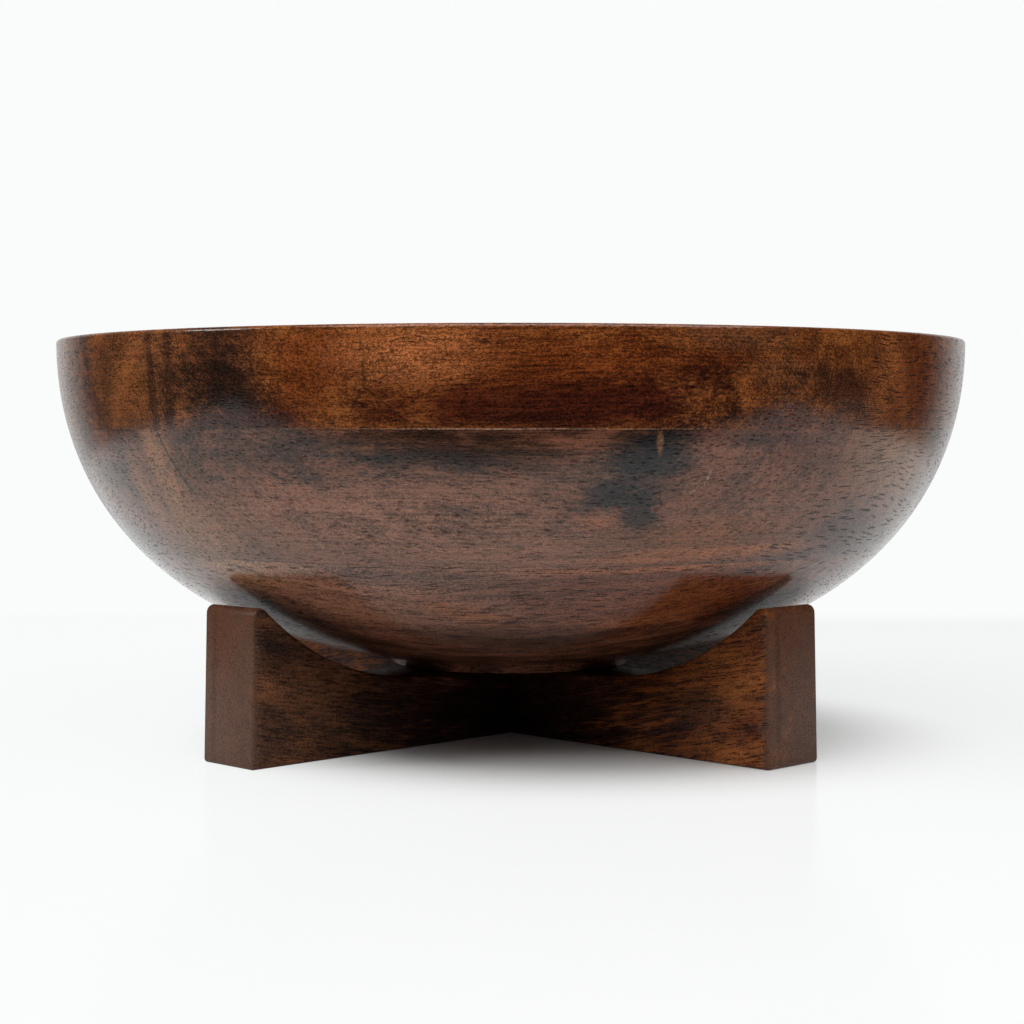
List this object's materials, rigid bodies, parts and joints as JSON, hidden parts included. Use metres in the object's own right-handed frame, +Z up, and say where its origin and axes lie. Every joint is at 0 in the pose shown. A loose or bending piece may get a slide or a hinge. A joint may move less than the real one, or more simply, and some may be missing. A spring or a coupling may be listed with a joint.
{
  "type": "wooden bowl on stand",
  "caption": "Round turned bowl glued up from hardwood boards, resting loose on a low cross of lapped rails with a saddle cut in the top.",
  "frame": {"origin": "on the ground, under the middle of the cross and of the bowl", "axes": "+Z up, +X along the bowl's boards, -Y towards the side that the picture shows"},
  "size_m": [0.3, 0.3, 0.1295],
  "materials": {
    "bowl_wood": "clear lacquer, satin to gloss",
    "bowl_strip_wood": "clear lacquer, satin to gloss",
    "stand_wood": "thin oil or lacquer, satin"
  },
  "bodies": {
    "stand": {"lower_rail": "stand_wood", "upper_rail": "stand_wood"},
    "bowl": {"base_board": "bowl_wood", "middle_board_left": "bowl_wood", "middle_board_right": "bowl_wood", "middle_strip_front": "bowl_strip_wood", "middle_strip_back": "bowl_strip_wood", "rim_board_left": "bowl_wood", "rim_board_right": "bowl_wood", "rim_strip_front": "bowl_strip_wood", "rim_strip_back": "bowl_strip_wood"}
  },
  "joints": [
    {"name": "bowl_lift", "type": "slide", "parent": "stand", "child": "bowl", "axis": [0, 0, 1], "range_m": [0, 0.06]}
  ]
}
